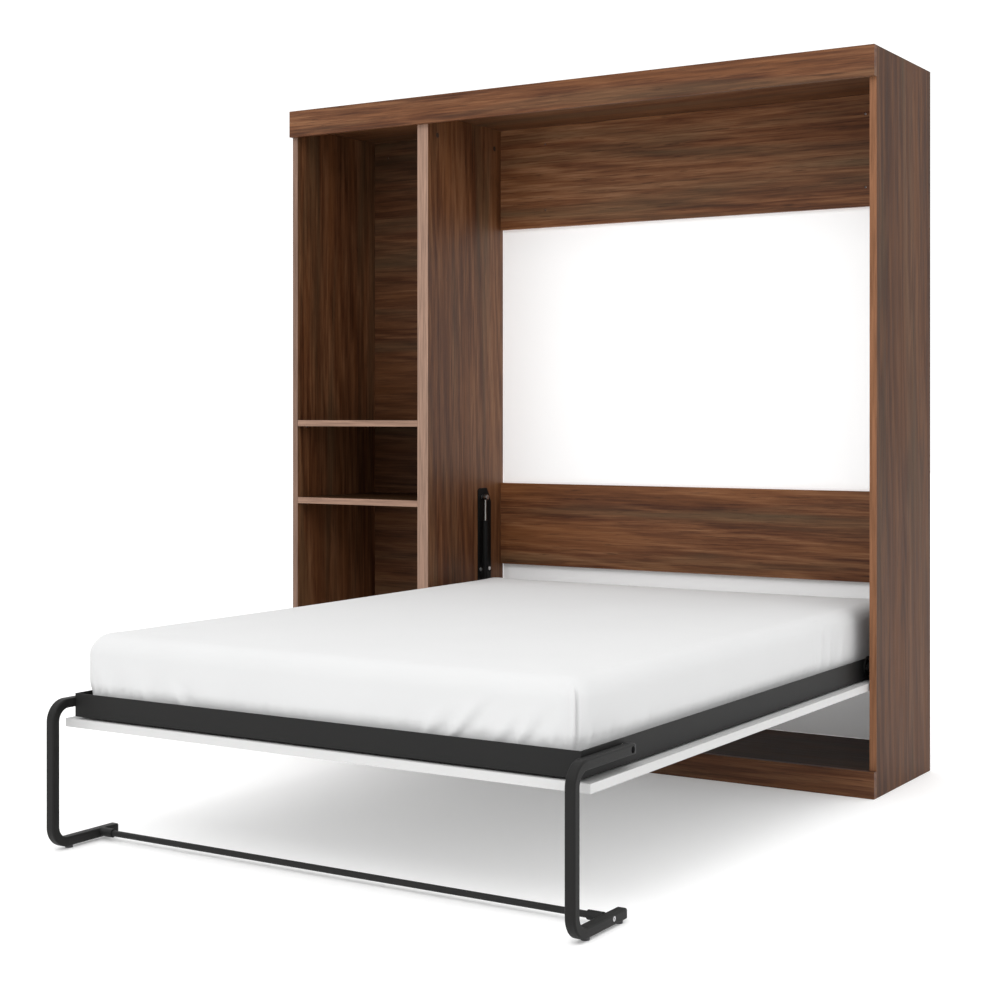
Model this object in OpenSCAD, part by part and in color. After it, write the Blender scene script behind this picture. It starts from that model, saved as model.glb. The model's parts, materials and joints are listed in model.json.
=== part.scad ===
// Vertical wall bed: a walnut cabinet with a shelf tower on its left, a steel bed frame
// that folds up into it on two side pivots, a C-shaped folding leg at the foot, and a
// gas strut on each side.
// Origin: floor level, in the middle of the footprint with the bed open.
// +Z is up, +Y points to the wall, the bed opens towards -Y. Millimetres.

/* [Cabinet] */
// Height of the cabinet, floor to the top of the header
cabinet_h = 2250; // [2240:1:2300]
// Depth of the cabinet, header face to wall
cabinet_d = 512; // [505:1:540]
// Width of the bed cabinet over its side boards
bed_cabinet_w = 1645; // [1645:1:1655]
// Width of the shelf tower over its side boards
tower_w = 575; // [480:1:700]
// Thickness of side boards, shelves and face panel
board_t = 22; // [20:1:22]
// Thickness of the header and base front boards
front_t = 20; // [18:1:20]
// Thickness of the back rails and the tower's back panel
back_t = 16; // [12:1:18]
// Height of the header board
header_h = 94; // [80:1:96]
// Height of the plinth, floor to the top of the deck
base_h = 80; // [75:1:82]
// Drop from the top of the header to the top board
top_drop = 33; // [25:1:36]

/* [Back rails and shelves] */
// Underside of the upper back rail
upper_rail_z = 1829; // [1780:1:1900]
// Underside of the lower back rail
lower_rail_z = 597; // [590:1:640]
// Height of the lower back rail
lower_rail_h = 298; // [200:1:320]
// Underside of the lower tower shelf
shelf_lower_z = 825; // [700:1:860]
// Underside of the upper tower shelf
shelf_upper_z = 1105; // [1060:1:1400]

/* [Bed] */
// Reach of the open bed in front of the header face, to the front of the leg
bed_reach = 1754; // [1750:1:1760]
// Pivot axis behind the header face
pivot_in = 86; // [84:1:88]
// Height of the pivot axis
pivot_z = 380; // [378:1:382]
// Mattress width
mattress_w = 1524; // [1515:1:1526]
// Mattress length
mattress_l = 2032; // [2025:1:2034]
// Mattress thickness
mattress_h = 190; // [180:1:224]
// Height of the steel rails
rail_h = 62; // [56:1:64]
// Thickness of the rolled steel rails
rail_t = 3; // [2.5:0.5:3]
// Number of slats
slat_count = 15; // [12:1:16]

/* [Leg] */
// Width of the leg tube, across the bed
leg_w = 27; // [25:1:27]
// Depth of the leg tube, in the plane of its bends
leg_d = 25; // [22:1:26]
// Radius of the tube's bends, on its centre line
leg_bend_r = 45; // [40:1:50]
// Height of the glide pads under the leg
glide_h = 6; // [5:1:7]
// Diameter of the cross rod
rod_d = 16; // [14:1:16]

/* [Lift mechanism] */
// Diameter of the bed's pivot pins
pivot_pin_d = 20; // [18:1:20]
// Strut pins behind the header face, and the strut's line when the bed is open
strut_in = 364; // [362:1:366]
// Height of the struts' upper pins
strut_top_z = 848; // [840:1:856]
// Height of the struts' lower ends with the bed open
strut_low_z = 384; // [383:1:386]
// Diameter of the gas cylinder
cylinder_d = 20; // [18:1:20]
// Diameter of the gas strut's piston rod
piston_rod_d = 10; // [8:1:10]

/* [Wall fixing] */
// Radius of the wall screw holes
wall_hole_r = 3.5; // [3:0.5:5]
// Sideways spacing of the bed cabinet's wall screws, three stud bays
wall_hole_x = 1219.2; // [812.8, 1219.2]
// Height between the two rows of wall screws
wall_hole_z = 240; // [160:1:260]
// Spacing of the tower's wall screws, one stud bay
tower_hole_x = 406.4; // [300:0.1:420]

/* [Hidden] */
$fn = 48;

walnut = "#5b3a29";
charcoal = "#2e2e30";
panel_white = "#eeeeec";
steel = "#b9babd";
nylon = "#d9d8d2";
beech = "#c9a878";

// Cabinet planes
overall_w = bed_cabinet_w + tower_w;
cab_right = overall_w / 2;
cab_left = -overall_w / 2;
seam_x = cab_right - bed_cabinet_w;
y_back = (cabinet_d + bed_reach) / 2;
y_front = y_back - cabinet_d;
y_edge = y_front + front_t;
y_inner_back = y_back - back_t;
top_z = cabinet_h - top_drop - board_t;
bed_cx = (seam_x + cab_right) / 2;
bed_half = bed_cabinet_w / 2 - board_t;
tower_cx = (cab_left + seam_x) / 2;
tower_half = tower_w / 2 - board_t;

// Bed planes, with x measured from the middle of the bed
pivot_y = y_front + pivot_in;
panel_gap = 3.5;
panel_half = bed_half - panel_gap;
leg_out = bed_half - 3;
leg_in = leg_out - leg_w;
rail_out = leg_in - 1;
rail_in = rail_out - rail_t;
rail_z = 346;
rail_y0 = y_front - 1676;
rail_y1 = y_front + 376;
flange_w = 38;
panel_z = 318.5;
panel_y0 = y_front - 1684;
panel_y1 = y_front + 372;
mattress_y0 = rail_y0 + 6;
mattress_z = 378.5;
slat_t = 10;
slat_w = 60;
slat_z = mattress_z - 2.5 - slat_t;
holder_gap = 3.5;
slat_first_y = rail_y0 + 90;
slat_pitch = (rail_y1 - rail_y0 - 180) / (slat_count - 1);

// Leg
leg_front = y_front - bed_reach;
leg_arm_z = 384;
leg_pivot_y = y_front - 1486;
leg_arm_end = leg_pivot_y + 10;
leg_foot_z = glide_h + leg_d / 2;
leg_foot_end = y_front - 1518;
leg_wall = 2;
leg_line_y = leg_front + leg_d / 2;
cap_t = 3;
shoulder_r = 6;
rod_y = y_front - 1575;
rod_z = glide_h + 15;

// Lift mechanism
plate_t = 4;
plate_in = bed_half - plate_t;
strut_y = y_front + strut_in;
strut_x = rail_out + 14;
eye_half = 9;
eye_r = 11;
flange_r = 36;
housing_r = 34;
bush_wall = 2.5;
running_gap = 0.05;
bolt_head_t = 2;
bolt_head_r = 7;
plate_y0 = strut_y - 26;
plate_y1 = strut_y + 59;
plate_z0 = 470;
plate_z1 = strut_top_z + 32;
LIFT_BOLTS = [for (y = [plate_y0 + 15, plate_y1 - 13], z = [plate_z0 + 30, plate_z0 + 116]) [y, z]];
flange_screw_circle = 26;
housing_bolt_circle = 25;
FLANGE_SCREWS = [for (a = [45 : 90 : 315])
    [pivot_y + flange_screw_circle * cos(a), pivot_z + flange_screw_circle * sin(a)]];
HOUSING_BOLTS = [for (a = [0 : 90 : 270])
    [pivot_y + housing_bolt_circle * cos(a), pivot_z + housing_bolt_circle * sin(a)]];

// Cam joints: y, z, turn about X that points the disc's open face, half the board's thickness
cam_r = 7.5;
cam_in = 34;
cam_bolt_r = 3.5;
cam_hole_r = 3.6;
cam_ys = [y_edge + 60, y_back - 60];
TOP_CAMS = [for (y = cam_ys) [y, top_z + board_t / 2, 0, board_t / 2]];
DECK_CAMS = [for (y = cam_ys) [y, base_h - board_t / 2, 180, board_t / 2]];
UPPER_RAIL_CAMS = [for (z = [upper_rail_z + 50, top_z - 50]) [y_back - back_t / 2, z, -90, back_t / 2]];
LOWER_RAIL_CAMS = [for (z = [lower_rail_z + 50, lower_rail_z + lower_rail_h - 50])
    [y_back - back_t / 2, z, -90, back_t / 2]];
BED_CAMS = concat(TOP_CAMS, DECK_CAMS, UPPER_RAIL_CAMS, LOWER_RAIL_CAMS);
TOWER_CAMS = concat(TOP_CAMS, DECK_CAMS);

// Dowels between the front boards and the side boards' front edges
dowel_r = 4;
dowel_fore = 12;
dowel_aft = 18;
DOWEL_XS = [for (x = [cab_left, seam_x - board_t, seam_x, cab_right - board_t]) x + board_t / 2];
DOWEL_ZS = [22, base_h - 22, cabinet_h - header_h + 24, cabinet_h - 24];

// Bolts that join the tower to the bed cabinet
join_r = 4;
join_head_r = 9;
join_head_t = 1.8;
JOIN_PLACES = [for (y = [y_edge + 60, y_back - 60], z = [300, top_z - 70]) [y, z]];

// Shelf pins, y and z
PIN_PLACES = [for (y = [y_edge + 50, y_back - 66], z = [shelf_lower_z, shelf_upper_z]) [y, z]];
pin_r = 2.5;

// A copy on each side of the bed, drawn for the right-hand side
module both_sides() {
    for (s = [0, 1])
        bed_side(s)
            children();
}

// s = 0 is the right-hand side, s = 1 the left-hand side
module bed_side(s) {
    translate([bed_cx, 0, 0])
        mirror([s, 0, 0])
            children();
}

module pin_x(x0, x1, y, z, r) {
    translate([x0, y, z])
        rotate([0, 90, 0])
            cylinder(r = r, h = x1 - x0);
}

module pin_y(x, y0, y1, z, r) {
    translate([x, y0, z])
        rotate([-90, 0, 0])
            cylinder(r = r, h = y1 - y0);
}

module block(x0, x1, y0, y1, z0, z1) {
    translate([x0, y0, z0])
        cube([x1 - x0, y1 - y0, z1 - z0]);
}

// Rectangle with round corners, centred
module rounded_rect(w, h, r) {
    square([w - 2 * r, h], center = true);
    square([w, h - 2 * r], center = true);
    for (x = [-1, 1], y = [-1, 1])
        translate([x * (w / 2 - r), y * (h / 2 - r)])
            circle(r = r);
}

// One cam joint at a board's end: origin on the side board's inner face, +X into the board
module cam_joint(piece, half_t) {
    disc_h = half_t + 4;
    if (piece == "board_cut") {
        translate([cam_in, 0, half_t - disc_h])
            cylinder(r = cam_r + 0.1, h = disc_h + 1);
        pin_x(-1, cam_in, 0, 0, cam_hole_r);
    }
    if (piece == "side_cut")
        pin_x(-12, 1, 0, 0, cam_hole_r);
    if (piece == "disc")
        translate([cam_in, 0, half_t - disc_h + 0.2])
            difference() {
                cylinder(r = cam_r, h = disc_h - 0.4);
                translate([0, 0, disc_h - 2])
                    cross_slot();
            }
    if (piece == "bolt")
        pin_x(-11.5, cam_in - cam_r - 0.5, 0, 0, cam_bolt_r);
}

// Drive recess of a cam disc
module cross_slot() {
    translate([-5, -1, 0])
        cube([10, 2, 3]);
    translate([-1, -5, 0])
        cube([2, 10, 3]);
}

// Cam joints at both ends of a cabinet centred on cx
module cam_joints(piece, cx, half, places) {
    for (s = [0, 1])
        translate([cx, 0, 0])
            mirror([s, 0, 0])
                translate([half, 0, 0])
                    mirror([1, 0, 0])
                        for (c = places)
                            translate([0, c[0], c[1]])
                                rotate([c[2], 0, 0])
                                    cam_joint(piece, c[3]);
}

module front_dowel_set(r, slack) {
    for (x = DOWEL_XS, z = DOWEL_ZS)
        pin_y(x, y_edge - dowel_fore - slack, y_edge + dowel_aft + slack, z, r);
}

module join_cuts() {
    for (p = JOIN_PLACES) {
        pin_x(seam_x - board_t - 1, seam_x + board_t + 1, p[0], p[1], join_r + 0.1);
        for (x = [seam_x - board_t - 1, seam_x + board_t - 2])
            pin_x(x, x + 3, p[0], p[1], join_head_r + 0.1);
    }
}

module shelf_pin_cuts() {
    for (p = PIN_PLACES)
        for (s = [-1, 1])
            pin_x(tower_cx - (s < 0 ? tower_half + 9 : -tower_half),
                  tower_cx + (s < 0 ? -tower_half : tower_half + 9), p[0], p[1] - pin_r, pin_r + 0.05);
}

module side_board(x0) {
    block(x0, x0 + board_t, y_edge, y_back, 0, cabinet_h);
}

// Screw holes of the lift plate and the pivot flange in the right-hand side board
module mechanism_cuts() {
    for (p = LIFT_BOLTS)
        pin_x(bed_half - 1, bed_half + 16, p[0], p[1], 4.05);
    for (p = FLANGE_SCREWS)
        pin_x(bed_half - 1, bed_half + 15, p[0], p[1], 3.05);
}

module bed_side_left() {
    color(walnut)
        difference() {
            side_board(seam_x);
            cam_joints("side_cut", bed_cx, bed_half, BED_CAMS);
            bed_side(1)
                mechanism_cuts();
            front_dowel_set(dowel_r, 0);
            join_cuts();
        }
}

module bed_side_right() {
    color(walnut)
        difference() {
            side_board(cab_right - board_t);
            cam_joints("side_cut", bed_cx, bed_half, BED_CAMS);
            bed_side(0)
                mechanism_cuts();
            front_dowel_set(dowel_r, 0);
        }
}

module tower_side_left() {
    color(walnut)
        difference() {
            side_board(cab_left);
            cam_joints("side_cut", tower_cx, tower_half, TOWER_CAMS);
            front_dowel_set(dowel_r, 0);
            shelf_pin_cuts();
        }
}

module tower_side_right() {
    color(walnut)
        difference() {
            side_board(seam_x - board_t);
            cam_joints("side_cut", tower_cx, tower_half, TOWER_CAMS);
            front_dowel_set(dowel_r, 0);
            join_cuts();
            shelf_pin_cuts();
        }
}

// A horizontal board between two side boards, with cam pockets at both ends
module level_board(cx, half, z0, y1, places) {
    difference() {
        block(cx - half, cx + half, y_edge, y1, z0, z0 + board_t);
        cam_joints("board_cut", cx, half, places);
    }
}

module bed_top_board() {
    color(walnut)
        level_board(bed_cx, bed_half, top_z, y_back, TOP_CAMS);
}

module base_deck() {
    color(walnut)
        level_board(bed_cx, bed_half, base_h - board_t, y_back, DECK_CAMS);
}

module tower_top_board() {
    color(walnut)
        level_board(tower_cx, tower_half, top_z, y_back, TOP_CAMS);
}

module tower_bottom_board() {
    color(walnut)
        level_board(tower_cx, tower_half, base_h - board_t, y_back, DECK_CAMS);
}

// A board planted on the front edges, from x0 to x1
module front_board(x0, x1, z0, z1) {
    difference() {
        block(x0, x1, y_front, y_edge, z0, z1);
        front_dowel_set(dowel_r, 0);
    }
}

module bed_header() {
    color(walnut)
        front_board(seam_x, cab_right, cabinet_h - header_h, cabinet_h);
}

module tower_header() {
    color(walnut)
        front_board(cab_left, seam_x, cabinet_h - header_h, cabinet_h);
}

module base_front_board() {
    color(walnut)
        front_board(seam_x, cab_right, 0, base_h);
}

module tower_base_front() {
    color(walnut)
        front_board(cab_left, seam_x, 0, base_h);
}

module upper_back_rail() {
    mid_z = (upper_rail_z + top_z) / 2;
    color(walnut)
        difference() {
            block(bed_cx - bed_half, bed_cx + bed_half, y_inner_back, y_back, upper_rail_z, top_z);
            cam_joints("board_cut", bed_cx, bed_half, UPPER_RAIL_CAMS);
            for (x = [-1, 1], z = [-1, 1])
                pin_y(bed_cx + x * wall_hole_x / 2, y_inner_back - 1, y_back + 1,
                      mid_z + z * wall_hole_z / 2, wall_hole_r);
        }
}

module lower_back_rail() {
    color(walnut)
        difference() {
            block(bed_cx - bed_half, bed_cx + bed_half, y_inner_back, y_back,
                  lower_rail_z, lower_rail_z + lower_rail_h);
            cam_joints("board_cut", bed_cx, bed_half, LOWER_RAIL_CAMS);
        }
}

module base_back_rail() {
    color(walnut)
        block(bed_cx - bed_half, bed_cx + bed_half, y_inner_back, y_back, 0, base_h - board_t);
}

// The back panel stands on the tower's bottom board
module tower_back_panel() {
    color(walnut)
        difference() {
            block(tower_cx - tower_half, tower_cx + tower_half, y_inner_back, y_back, base_h, top_z);
            for (x = [-1, 1])
                pin_y(tower_cx + x * tower_hole_x / 2, y_inner_back - 1, y_back + 1,
                      top_z - 60, wall_hole_r);
        }
}

module tower_shelf(z0) {
    block(tower_cx - tower_half + 0.5, tower_cx + tower_half - 0.5, y_edge, y_inner_back, z0, z0 + board_t);
}

module tower_shelf_lower() {
    color(walnut)
        tower_shelf(shelf_lower_z);
}

module tower_shelf_upper() {
    color(walnut)
        tower_shelf(shelf_upper_z);
}

module shelf_pins() {
    color(steel)
        for (p = PIN_PLACES)
            for (s = [-1, 1])
                pin_x(tower_cx + (s < 0 ? -tower_half - 8 : tower_half - 8),
                      tower_cx + (s < 0 ? -tower_half + 8 : tower_half + 8), p[0], p[1] - pin_r, pin_r);
}

module cam_locks() {
    color(steel) {
        cam_joints("disc", bed_cx, bed_half, BED_CAMS);
        cam_joints("disc", tower_cx, tower_half, TOWER_CAMS);
    }
}

module cam_bolts() {
    color(steel) {
        cam_joints("bolt", bed_cx, bed_half, BED_CAMS);
        cam_joints("bolt", tower_cx, tower_half, TOWER_CAMS);
    }
}

module front_dowels() {
    color(beech)
        front_dowel_set(dowel_r - 0.1, -0.5);
}

// Barrel bolts through both seam boards, with flush heads
module joining_bolts() {
    color(steel)
        for (p = JOIN_PLACES) {
            pin_x(seam_x - board_t, seam_x + board_t, p[0], p[1], join_r);
            pin_x(seam_x - board_t, seam_x - board_t + join_head_t, p[0], p[1], join_head_r);
            pin_x(seam_x + board_t - join_head_t, seam_x + board_t, p[0], p[1], join_head_r);
        }
}

// Steel plate on each side board that carries the strut's upper pin
module lift_plate() {
    small_chamfer = 8;
    chamfer_w = 28;
    chamfer_h = 48;
    difference() {
        translate([plate_in, 0, 0])
            rotate([90, 0, 90])
                linear_extrude(plate_t)
                    polygon([
                        [plate_y0, plate_z0],
                        [plate_y1, plate_z0],
                        [plate_y1, plate_z1 - chamfer_h],
                        [plate_y1 - chamfer_w, plate_z1],
                        [plate_y0 + small_chamfer, plate_z1],
                        [plate_y0, plate_z1 - small_chamfer]
                    ]);
        for (p = LIFT_BOLTS)
            pin_x(plate_in - 1, bed_half + 1, p[0], p[1], 4.05);
        pin_x(plate_in - 1, bed_half + 1, strut_y, strut_top_z, 5.05);
    }
}

module lift_plates() {
    color(charcoal)
        both_sides()
            lift_plate();
}

module lift_plate_bolts() {
    color(steel)
        both_sides()
            for (p = LIFT_BOLTS) {
                pin_x(plate_in - bolt_head_t, plate_in, p[0], p[1], bolt_head_r);
                pin_x(plate_in, bed_half + 15.5, p[0], p[1], 4);
            }
}

// Shoulder pin that holds the top eye of the strut
module strut_pins() {
    color(steel)
        both_sides() {
            pin_x(strut_x - eye_half - 2, bed_half, strut_y, strut_top_z, 5);
            pin_x(strut_x - eye_half - 2.5, strut_x - eye_half - 0.5, strut_y, strut_top_z, 7.5);
            pin_x(strut_x + eye_half + 0.5, plate_in, strut_y, strut_top_z, 8);
        }
}

// Flange with the fixed pin that the bed turns on
module pivot_flanges() {
    color(charcoal)
        both_sides()
            difference() {
                union() {
                    pin_x(plate_in, bed_half, pivot_y, pivot_z, flange_r);
                    pin_x(rail_in + 1.5, plate_in, pivot_y, pivot_z, pivot_pin_d / 2);
                }
                for (p = FLANGE_SCREWS)
                    pin_x(plate_in - 1, bed_half + 1, p[0], p[1], 3.05);
            }
}

module pivot_flange_screws() {
    color(steel)
        both_sides()
            for (p = FLANGE_SCREWS) {
                pin_x(plate_in - 2, plate_in, p[0], p[1], 5.5);
                pin_x(plate_in, bed_half + 14.5, p[0], p[1], 3);
            }
}

// L-section rail: upright web outside, flange inwards at the bottom
module side_rail() {
    foot_web = rail_y0 + rail_t;
    head_web = rail_y1 - rail_t;
    difference() {
        union() {
            block(rail_in, rail_out, foot_web, head_web, rail_z, rail_z + rail_h);
            block(rail_out - flange_w, rail_out, foot_web, head_web, rail_z, rail_z + rail_t);
        }
        pin_x(rail_in - 1, rail_out + 1, pivot_y, pivot_z, pivot_pin_d / 2 + 1);
        for (p = HOUSING_BOLTS)
            pin_x(rail_in - 1, rail_out + 1, p[0], p[1], 3.05);
        pin_x(rail_in - 1, rail_out + 1, leg_pivot_y, leg_arm_z, shoulder_r);
        at_panel_screws(rail_z - 1, rail_z + rail_t + 1, 2.6);
    }
}

module side_rail_left() {
    color(charcoal)
        bed_side(1)
            side_rail();
}

module side_rail_right() {
    color(charcoal)
        bed_side(0)
            side_rail();
}

// End rail: web across the whole bed, flange between the side rails' flanges
module end_rail(y_web, y_flange) {
    block(bed_cx - rail_out, bed_cx + rail_out, y_web, y_web + rail_t, rail_z, rail_z + rail_h);
    block(bed_cx - rail_out + flange_w, bed_cx + rail_out - flange_w, min(y_web, y_flange),
          max(y_web + rail_t, y_flange), rail_z, rail_z + rail_t);
}

module foot_rail() {
    color(charcoal)
        end_rail(rail_y0, rail_y0 + flange_w);
}

module head_rail() {
    color(charcoal)
        end_rail(rail_y1 - rail_t, rail_y1 - flange_w);
}

module centre_beam() {
    color(charcoal)
        difference() {
            block(bed_cx - 20, bed_cx + 20, rail_y0 + rail_t, rail_y1 - rail_t, rail_z + rail_t, slat_z);
            block(bed_cx - 18, bed_cx + 18, rail_y0, rail_y1, rail_z + rail_t + 2, slat_z - 2);
        }
}

// Triangular plates welded into the frame's corners
module corner_gussets() {
    gusset_l = 34;
    color(charcoal)
        both_sides()
            for (e = [0, 1]) {
                y = e == 0 ? rail_y0 + rail_t : rail_y1 - rail_t;
                translate([rail_in, y, rail_z + rail_t])
                    mirror([0, e, 0])
                        linear_extrude(4)
                            polygon([[0, 0], [-gusset_l, 0], [0, gusset_l]]);
            }
}

module mattress_slats() {
    color(beech)
        for (i = [0 : slat_count - 1])
            translate([bed_cx, slat_first_y + i * slat_pitch, slat_z])
                linear_extrude(slat_t)
                    rounded_rect(2 * (rail_in - holder_gap - 10.5), slat_w, 6);
}

// Plastic caps on the rails' flanges that take the slats' ends
module slat_holders() {
    cap_l = 40;
    color(charcoal)
        both_sides()
            for (i = [0 : slat_count - 1])
                translate([rail_in - holder_gap, slat_first_y + i * slat_pitch, rail_z + rail_t])
                    difference() {
                        block(-cap_l, 0, -slat_w / 2 - 6, slat_w / 2 + 6,
                              0, mattress_z - rail_z - rail_t - 0.5);
                        block(-cap_l - 1, -9, -slat_w / 2 - 0.5, slat_w / 2 + 0.5,
                              slat_z - rail_z - rail_t - 0.2, slat_z - rail_z - rail_t + slat_t + 0.2);
                    }
}

// A round bar at each panel screw, midway between slats, through the side rail's flange
module at_panel_screws(z0, z1, r) {
    for (i = [0 : 2 : slat_count - 2])
        translate([rail_out - flange_w + 12, slat_first_y + (i + 0.5) * slat_pitch, z0])
            cylinder(r = r, h = z1 - z0);
}

module face_panel() {
    color(panel_white)
        difference() {
            block(bed_cx - panel_half, bed_cx + panel_half, panel_y0, panel_y1, panel_z, panel_z + board_t);
            both_sides()
                at_panel_screws(panel_z + 7, panel_z + board_t + 1, 2.5);
        }
}

module panel_spacers() {
    color(charcoal)
        both_sides()
            difference() {
                at_panel_screws(panel_z + board_t, rail_z, 12);
                at_panel_screws(panel_z, rail_z + 1, 2.6);
            }
}

module panel_screws() {
    color(steel)
        both_sides() {
            at_panel_screws(panel_z + 8, rail_z + rail_t + 1, 2.45);
            at_panel_screws(rail_z + rail_t, rail_z + rail_t + 3, 5);
        }
}

module mattress() {
    color("white")
        translate([bed_cx, mattress_y0 + mattress_l / 2, mattress_z])
            linear_extrude(mattress_h)
                rounded_rect(mattress_w, mattress_l, 40);
}

// Bearing on the outside of each side rail
module bearing_housings() {
    color(charcoal)
        both_sides()
            difference() {
                union() {
                    pin_x(rail_out, rail_out + 5, pivot_y, pivot_z, housing_r);
                    pin_x(rail_out, rail_out + 21, pivot_y, pivot_z, pivot_pin_d / 2 + bush_wall + 6);
                }
                pin_x(rail_out - 1, rail_out + 22, pivot_y, pivot_z, pivot_pin_d / 2 + bush_wall);
                for (p = HOUSING_BOLTS)
                    pin_x(rail_out - 1, rail_out + 6, p[0], p[1], 3.05);
            }
}

module pivot_bushes() {
    color(nylon)
        both_sides()
            difference() {
                pin_x(rail_out, rail_out + 21, pivot_y, pivot_z, pivot_pin_d / 2 + bush_wall - 0.02);
                pin_x(rail_out - 1, rail_out + 22, pivot_y, pivot_z, pivot_pin_d / 2 + running_gap);
            }
}

module housing_bolts() {
    color(steel)
        both_sides()
            for (p = HOUSING_BOLTS)
                difference() {
                    union() {
                        pin_x(rail_in - 1.5, rail_out + 5, p[0], p[1], 3);
                        pin_x(rail_out + 5, rail_out + 8.5, p[0], p[1], 4.8);
                    }
                    pin_x(rail_out + 6.5, rail_out + 9, p[0], p[1], 2.2);
                }
}

// Washers at the bed's pivots and between the side rails and the leg
module nylon_washers() {
    color(nylon)
        both_sides() {
            difference() {
                pin_x(rail_out + 21.2, plate_in - 0.2, pivot_y, pivot_z, 16);
                pin_x(rail_out + 20, plate_in + 1, pivot_y, pivot_z, pivot_pin_d / 2 + 0.5);
            }
            difference() {
                pin_x(rail_out, rail_out + 0.8, leg_pivot_y, leg_arm_z, 11);
                pin_x(rail_out - 1, rail_out + 2, leg_pivot_y, leg_arm_z, shoulder_r + 0.3);
            }
        }
}

// Plate and ball seat on the side rail that the cylinder's lower end stands against
module strut_lugs() {
    color(charcoal)
        both_sides() {
            translate([rail_out, strut_y - 6, strut_low_z - 6])
                rotate([90, 0, 90])
                    linear_extrude(3)
                        rounded_rect(36, 34, 8);
            pin_x(rail_out + 3, strut_x - eye_half - 0.6, strut_y, strut_low_z, 8);
        }
}

module leg_pivot_bolts() {
    head_x = leg_in + leg_wall + 0.4;
    color(steel)
        both_sides()
            difference() {
                union() {
                    pin_x(rail_in - 2.5, head_x, leg_pivot_y, leg_arm_z, shoulder_r - running_gap);
                    pin_x(head_x, head_x + 6, leg_pivot_y, leg_arm_z, 7.5);
                }
                pin_x(head_x + 3, head_x + 7, leg_pivot_y, leg_arm_z, 3.5);
            }
}

module leg_backing_plates() {
    color(charcoal)
        both_sides()
            difference() {
                translate([rail_in - 3, leg_pivot_y, leg_arm_z - 6])
                    rotate([90, 0, 90])
                        linear_extrude(3)
                            rounded_rect(60, 40, 6);
                pin_x(rail_in - 4, rail_in + 1, leg_pivot_y, leg_arm_z, shoulder_r);
            }
}

// Section of the leg tube, grown by g on every side; first axis in the bend's plane
module leg_section(g) {
    rounded_rect(leg_d + 2 * g, leg_w + 2 * g, 5 + g);
}

// The C-shaped run: top arm, bend, upright, bend, foot arm
module leg_run(g, over) {
    arm_y0 = leg_line_y + leg_bend_r;
    mid_x = leg_in + leg_w / 2;
    for (a = [[leg_arm_z, leg_arm_end], [leg_foot_z, leg_foot_end]])
        translate([mid_x, a[1] + over, a[0]])
            rotate([90, 90, 0])
                linear_extrude(a[1] + over - arm_y0)
                    leg_section(g);
    translate([mid_x, leg_line_y, leg_foot_z + leg_bend_r])
        rotate([0, 0, 90])
            linear_extrude(leg_arm_z - leg_foot_z - 2 * leg_bend_r)
                leg_section(g);
    for (b = [[leg_arm_z - leg_bend_r, 180], [leg_foot_z + leg_bend_r, 270]])
        translate([mid_x, arm_y0, b[0]])
            rotate([0, 90, 0])
                rotate([0, 0, b[1]])
                    rotate_extrude(angle = 90)
                        translate([leg_bend_r, 0])
                            leg_section(g);
}

module leg_tube() {
    difference() {
        leg_run(0, 0);
        leg_run(-leg_wall, 1);
        pin_x(leg_out - leg_wall - 1, leg_out + 1, leg_pivot_y, leg_arm_z, 8);
        pin_x(leg_in - 1, leg_in + leg_wall + 1, leg_pivot_y, leg_arm_z, shoulder_r);
        pin_x(leg_out - leg_wall - 1, leg_out + 1, rod_y, rod_z, 6.1);
        pin_x(leg_in - 1, leg_in + leg_wall + 1, rod_y, rod_z, 3.1);
    }
}

module leg_left() {
    color(charcoal)
        bed_side(1)
            leg_tube();
}

module leg_right() {
    color(charcoal)
        bed_side(0)
            leg_tube();
}

module cross_rod() {
    color(charcoal)
        difference() {
            pin_x(bed_cx - leg_in, bed_cx + leg_in, rod_y, rod_z, rod_d / 2);
            both_sides()
                pin_x(leg_in - 24, leg_in + 1, rod_y, rod_z, 3.05);
        }
}

module rod_sleeves() {
    color(charcoal)
        both_sides()
            difference() {
                pin_x(leg_in - 40, leg_in, rod_y, rod_z, rod_d / 2 + 3.5);
                pin_x(leg_in - 41, leg_in + 1, rod_y, rod_z, rod_d / 2 + 0.05);
            }
}

module leg_screws() {
    color(steel)
        both_sides()
            difference() {
                union() {
                    pin_x(leg_in - 22, leg_out - 4, rod_y, rod_z, 3);
                    pin_x(leg_out - 4, leg_out, rod_y, rod_z, 6);
                }
                pin_x(leg_out - 3, leg_out + 1, rod_y, rod_z, 2.5);
            }
}

module leg_glides() {
    color(charcoal)
        both_sides()
            for (y = [leg_line_y + leg_bend_r + 12, leg_foot_end - 14])
                translate([leg_in + leg_w / 2, y, 0])
                    cylinder(r = 10.5, h = glide_h);
}

module tube_end_caps() {
    color(charcoal)
        both_sides()
            for (a = [[leg_arm_z, leg_arm_end], [leg_foot_z, leg_foot_end]])
                translate([leg_in + leg_w / 2, a[1] + cap_t, a[0]])
                    rotate([90, 90, 0]) {
                        linear_extrude(cap_t)
                            leg_section(0);
                        translate([0, 0, cap_t])
                            linear_extrude(1.8)
                                leg_section(-leg_wall - 0.1);
                    }
}

// Piston rod: it hangs from the upper pin and ends in a piston inside the cylinder
module gas_rod() {
    tip_z = strut_low_z + 28;
    difference() {
        union() {
            pin_x(strut_x - eye_half, strut_x + eye_half, strut_y, strut_top_z, eye_r);
            translate([strut_x, strut_y, tip_z])
                cylinder(d = piston_rod_d, h = strut_top_z - tip_z - 6);
            translate([strut_x, strut_y, tip_z])
                cylinder(d = cylinder_d - 6.1, h = 10);
        }
        pin_x(strut_x - eye_half - 1, strut_x + eye_half + 1, strut_y, strut_top_z, 5 + running_gap);
    }
}

module gas_rod_left() {
    color(steel)
        bed_side(1)
            gas_rod();
}

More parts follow.
